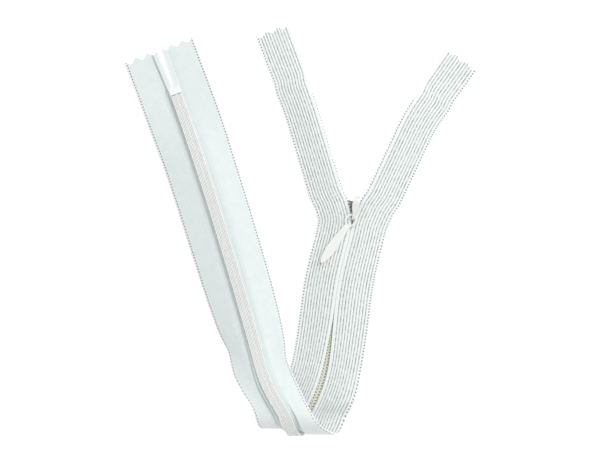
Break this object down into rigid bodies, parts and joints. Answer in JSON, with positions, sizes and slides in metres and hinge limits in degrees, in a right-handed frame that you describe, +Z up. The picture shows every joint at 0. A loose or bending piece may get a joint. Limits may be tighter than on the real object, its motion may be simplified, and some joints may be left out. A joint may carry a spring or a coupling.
{
  "type": "concealed zipper",
  "caption": "White concealed nylon coil zipper for dressmaking, partly open and folded back on itself, with a small metal slider and a flat leaf pull.",
  "frame": {"origin": "centre of the bounding box's underside, on the surface that the zipper lies on", "axes": "+Y from the fold towards the open ends, +X to the right seen from above with the slider's front up, +Z up, off the surface"},
  "size_m": [0.123, 0.1436, 0.015],
  "materials": {
    "tape": "knitted polyester",
    "cord": "twisted polyester",
    "thread": "sewing thread",
    "coil": "drawn nylon",
    "stop": "moulded",
    "slider_metal": "satin lacquer",
    "leaf_metal": "gloss lacquer"
  },
  "bodies": {
    "short_leg": {"left_tape_short": "tape", "right_tape_short": "tape", "left_coil_short": "coil", "right_coil_short": "coil", "left_core_cord_short": "cord", "right_core_cord_short": "cord", "left_stitching_short": "thread", "right_stitching_short": "thread"},
    "fold_loop": {"left_tape_fold": "tape", "right_tape_fold": "tape", "left_coil_fold": "coil", "right_coil_fold": "coil", "left_core_cord_fold": "cord", "right_core_cord_fold": "cord", "left_stitching_fold": "thread", "right_stitching_fold": "thread"},
    "long_leg": {"left_tape_long": "tape", "right_tape_long": "tape", "left_coil_long": "coil", "right_coil_long": "coil", "left_core_cord_long": "cord", "right_core_cord_long": "cord", "left_stitching_long": "thread", "right_stitching_long": "thread", "bottom_stop": "stop"},
    "left_wing": {"left_tape_wing": "tape", "left_coil_wing": "coil", "left_core_cord_wing": "cord", "left_stitching_wing": "thread", "left_top_stop": "stop"},
    "right_wing": {"right_tape_wing": "tape", "right_coil_wing": "coil", "right_core_cord_wing": "cord", "right_stitching_wing": "thread", "right_top_stop": "stop"},
    "slider": {"slider_body": "slider_metal"},
    "lock_spring": {"lock_spring": "leaf_metal"},
    "pull_tab": {"pull_tab": "leaf_metal"}
  },
  "joints": [
    {"name": "fold_lower", "type": "hinge", "parent": "short_leg", "child": "fold_loop", "pos_m": [-0.00075, -0.06781, 0.004], "axis": [1, 0, 0], "range_deg": [0, 92], "deforming": ["left_tape_fold", "right_tape_fold", "left_coil_fold", "right_coil_fold", "left_core_cord_fold", "right_core_cord_fold", "left_stitching_fold", "right_stitching_fold"]},
    {"name": "fold_upper", "type": "hinge", "parent": "fold_loop", "child": "long_leg", "pos_m": [-0.00075, -0.06781, 0.011], "axis": [1, 0, 0], "range_deg": [0, 92]},
    {"name": "slider_travel", "type": "slide", "parent": "short_leg", "child": "slider", "axis": [0.1994, 0.9799, 0], "range_m": [0, 0.04]},
    {"name": "left_wing_swing", "type": "hinge", "parent": "short_leg", "child": "left_wing", "pos_m": [0.01815, 0.00394, 0], "axis": [0, 0, 1], "range_deg": [-28, 0], "deforming": ["left_tape_wing", "left_coil_wing", "left_core_cord_wing", "left_stitching_wing"]},
    {"name": "right_wing_swing", "type": "hinge", "parent": "short_leg", "child": "right_wing", "pos_m": [0.01815, 0.00394, 0], "axis": [0, 0, 1], "range_deg": [0, 13.4], "deforming": ["right_tape_wing", "right_coil_wing", "right_core_cord_wing", "right_stitching_wing"]},
    {"name": "lock_lift", "type": "hinge", "parent": "slider", "child": "lock_spring", "pos_m": [0.01966, 0.01139, 0.00565], "axis": [-0.9799, 0.1994, 0], "range_deg": [0, 6], "stiffness_Nm_per_rad": 0.002},
    {"name": "pull_swing", "type": "hinge", "parent": "slider", "child": "pull_tab", "pos_m": [0.01853, 0.00518, 0.00485], "axis": [-0.8192, 0.5736, 0], "range_deg": [0, 110]}
  ],
  "couplings": [
    {"joint": "fold_upper", "follows": "fold_lower", "ratio": 1},
    {"joint": "left_wing_swing", "follows": "slider_travel", "rad_per_m": -12.04},
    {"joint": "right_wing_swing", "follows": "slider_travel", "rad_per_m": 5.67}
  ]
}
